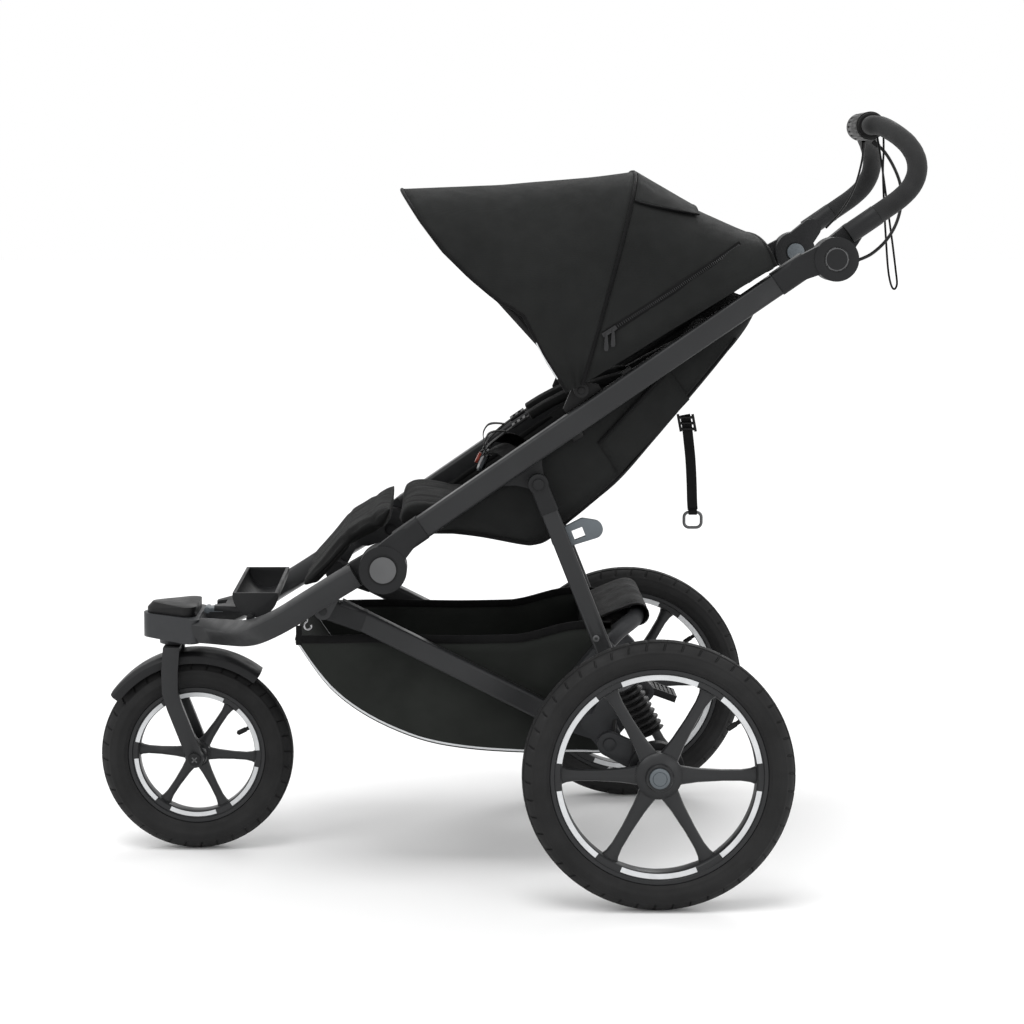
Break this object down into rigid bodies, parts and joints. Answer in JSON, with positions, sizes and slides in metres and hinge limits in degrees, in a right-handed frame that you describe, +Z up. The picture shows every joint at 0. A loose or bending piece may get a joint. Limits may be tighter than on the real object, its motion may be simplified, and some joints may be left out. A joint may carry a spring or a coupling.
{
  "type": "jogging stroller",
  "caption": "Folding jogging stroller with a swivelling front wheel, sprung rear wheels, canopy, reclining seat and tilting handlebar.",
  "frame": {"origin": "on the ground, under the middle of the whole stroller", "axes": "+X towards the person pushing, +Y to the stroller's right, +Z up"},
  "size_m": [1.2696, 0.691, 1.1736],
  "materials": {
    "frame_coat": "satin",
    "casting": "satin",
    "dark_plastic": "matte",
    "black_plastic": "matte",
    "button_grey": "satin",
    "cap_grey": "satin",
    "buckle_grey": "satin",
    "release_red": "satin",
    "tyre_rubber": "matte",
    "foam": "matte",
    "cable": "satin",
    "shell_fabric": "matte",
    "basket_fabric": "matte",
    "seat_fabric": "matte",
    "webbing": "matte",
    "boot_rubber": "matte",
    "steel": "satin",
    "bow": "matte"
  },
  "bodies": {
    "chassis": {"lower_rails": "frame_coat", "rail_end_fittings": "dark_plastic", "rear_castings": "casting", "rear_cross_tube": "casting", "basket": "basket_fabric", "spring_boots": "boot_rubber", "suspension_springs": "steel"},
    "parking_pedal": {"brake_pedal": "black_plastic"},
    "swing_arm_left": {"swing_arm_left": "casting", "brake_drum_left": "dark_plastic"},
    "swing_arm_right": {"swing_arm_right": "casting", "brake_drum_right": "dark_plastic"},
    "rear_wheel_left": {"rear_tyre_left": "tyre_rubber", "rear_rim_left": "frame_coat"},
    "rear_wheel_right": {"rear_tyre_right": "tyre_rubber", "rear_rim_right": "frame_coat"},
    "hub_button_left": {"hub_button_left": "button_grey"},
    "hub_button_right": {"hub_button_right": "button_grey"},
    "front_frame": {"front_tubes": "frame_coat", "front_hinge_shells": "dark_plastic", "head_bracket": "casting", "head_cover": "black_plastic", "footrest": "dark_plastic"},
    "swivel_lock": {"swivel_lock": "button_grey"},
    "fork": {"fork": "frame_coat", "front_fender": "dark_plastic", "front_axle": "steel"},
    "front_wheel": {"front_tyre": "tyre_rubber", "front_rim": "frame_coat"},
    "upper_frame": {"main_tubes": "frame_coat", "upper_hinge_shells": "dark_plastic", "hinge_caps": "cap_grey", "leg_brackets": "dark_plastic", "handle_hinge_shells": "dark_plastic", "canopy_mounts": "black_plastic", "seat_sling": "shell_fabric", "seat_pad": "seat_fabric", "calf_rest": "seat_fabric", "harness_straps": "webbing", "harness_buckle": "buckle_grey", "canopy_rear_panel": "shell_fabric"},
    "harness_button": {"harness_button": "release_red"},
    "backrest": {"backrest_pad": "seat_fabric", "recline_strap": "webbing", "recline_ring": "cap_grey"},
    "rear_legs": {"rear_legs": "frame_coat", "leg_clevises": "dark_plastic"},
    "fold_latch": {"fold_latch": "button_grey"},
    "handlebar": {"handle_arms": "dark_plastic", "foam_grip": "foam", "brake_cables": "cable", "wrist_strap": "webbing"},
    "handle_button_left": {"handle_button_left": "button_grey"},
    "handle_button_right": {"handle_button_right": "button_grey"},
    "brake_knob": {"brake_knob": "black_plastic"},
    "canopy_mid": {"canopy_mid_bow": "bow", "canopy_front_panel": "shell_fabric"},
    "canopy_front": {"canopy_front_bow": "bow"}
  },
  "joints": [
    {"name": "frame_fold", "type": "hinge", "parent": "chassis", "child": "front_frame", "pos_m": [-0.2685, 0, 0.4205], "axis": [0, -1, 0], "range_deg": [0, 104.2], "deforming": ["basket"]},
    {"name": "main_fold", "type": "hinge", "parent": "front_frame", "child": "upper_frame", "pos_m": [-0.1775, 0, 0.4857], "axis": [0, -1, 0], "range_deg": [-135.1, 0], "deforming": ["seat_sling", "seat_pad", "calf_rest", "harness_straps"]},
    {"name": "leg_fold", "type": "hinge", "parent": "upper_frame", "child": "rear_legs", "pos_m": [0.05474, 0, 0.61396], "axis": [0, -1, 0], "range_deg": [0, 71.9]},
    {"name": "fold_latch_swing", "type": "hinge", "parent": "rear_legs", "child": "fold_latch", "pos_m": [0.08862, 0, 0.52843], "axis": [0, -1, 0], "range_deg": [0, 25], "stiffness_Nm_per_rad": 0.5, "springref_deg": -22.92},
    {"name": "front_swivel", "type": "hinge", "parent": "front_frame", "child": "fork", "pos_m": [-0.5135, 0, 0.362], "axis": [0, 0, 1], "continuous": true},
    {"name": "front_spin", "type": "hinge", "parent": "fork", "child": "front_wheel", "pos_m": [-0.4815, 0, 0.1535], "axis": [0, 1, 0], "continuous": true},
    {"name": "swivel_lock_flip", "type": "hinge", "parent": "front_frame", "child": "swivel_lock", "pos_m": [-0.4635, 0, 0.386], "axis": [0, -1, 0], "range_deg": [0, 45]},
    {"name": "suspension_left", "type": "hinge", "parent": "chassis", "child": "swing_arm_left", "pos_m": [0.1588, -0.32, 0.2341], "axis": [0, -1, 0], "range_deg": [0, 12], "stiffness_Nm_per_rad": 40, "springref_deg": -11.46, "deforming": ["spring_boots"]},
    {"name": "suspension_right", "type": "hinge", "parent": "chassis", "child": "swing_arm_right", "pos_m": [0.1588, 0.32, 0.2341], "axis": [0, -1, 0], "range_deg": [0, 12], "stiffness_Nm_per_rad": 40, "springref_deg": -11.46, "deforming": ["suspension_springs"]},
    {"name": "rear_spin_left", "type": "hinge", "parent": "swing_arm_left", "child": "rear_wheel_left", "pos_m": [0.2275, -0.32, 0.2], "axis": [0, 1, 0], "continuous": true},
    {"name": "rear_spin_right", "type": "hinge", "parent": "swing_arm_right", "child": "rear_wheel_right", "pos_m": [0.2275, 0.32, 0.2], "axis": [0, 1, 0], "continuous": true},
    {"name": "hub_release_left", "type": "slide", "parent": "rear_wheel_left", "child": "hub_button_left", "axis": [0, 1, 0], "range_m": [0, 0.003], "stiffness_N_per_m": 800, "springref_m": -0.002},
    {"name": "hub_release_right", "type": "slide", "parent": "rear_wheel_right", "child": "hub_button_right", "axis": [0, -1, 0], "range_m": [0, 0.003], "stiffness_N_per_m": 800, "springref_m": -0.002},
    {"name": "parking_brake", "type": "hinge", "parent": "chassis", "child": "parking_pedal", "pos_m": [0.2195, 0, 0.292], "axis": [0, 1, 0], "range_deg": [0, 20]},
    {"name": "handle_tilt", "type": "hinge", "parent": "upper_frame", "child": "handlebar", "pos_m": [0.495, 0, 0.94963], "axis": [0, -1, 0], "range_deg": [-75, 25], "deforming": ["brake_cables"]},
    {"name": "handle_release_left", "type": "slide", "parent": "handlebar", "child": "handle_button_left", "axis": [0, -1, 0], "range_m": [0, 0.003], "stiffness_N_per_m": 800, "springref_m": -0.002},
    {"name": "handle_release_right", "type": "slide", "parent": "handlebar", "child": "handle_button_right", "axis": [0, 1, 0], "range_m": [0, 0.003], "stiffness_N_per_m": 800, "springref_m": -0.002},
    {"name": "brake_twist", "type": "hinge", "parent": "handlebar", "child": "brake_knob", "pos_m": [0.575, 0, 1.15163], "axis": [0, 1, 0], "range_deg": [0, 60], "deforming": ["wrist_strap"]},
    {"name": "canopy_mid_fold", "type": "hinge", "parent": "upper_frame", "child": "canopy_mid", "pos_m": [0.11837, 0, 0.75419], "axis": [0, 1, 0], "range_deg": [0, 28], "deforming": ["canopy_rear_panel"]},
    {"name": "canopy_front_fold", "type": "hinge", "parent": "canopy_mid", "child": "canopy_front", "pos_m": [0.11837, 0, 0.75419], "axis": [0, 1, 0], "range_deg": [0, 52], "deforming": ["canopy_front_panel"]},
    {"name": "seat_recline", "type": "hinge", "parent": "upper_frame", "child": "backrest", "pos_m": [0.06057, 0, 0.53331], "axis": [0, -1, 0], "range_deg": [0, 20], "deforming": ["backrest_pad", "recline_strap"]},
    {"name": "harness_release", "type": "slide", "parent": "upper_frame", "child": "harness_button", "axis": [0.9033, 0, -0.4289], "range_m": [0, 0.002], "stiffness_N_per_m": 600, "springref_m": -0.002}
  ],
  "couplings": [
    {"joint": "main_fold", "follows": "frame_fold", "ratio": -1.2956},
    {"joint": "leg_fold", "follows": "frame_fold", "ratio": 0.689}
  ]
}
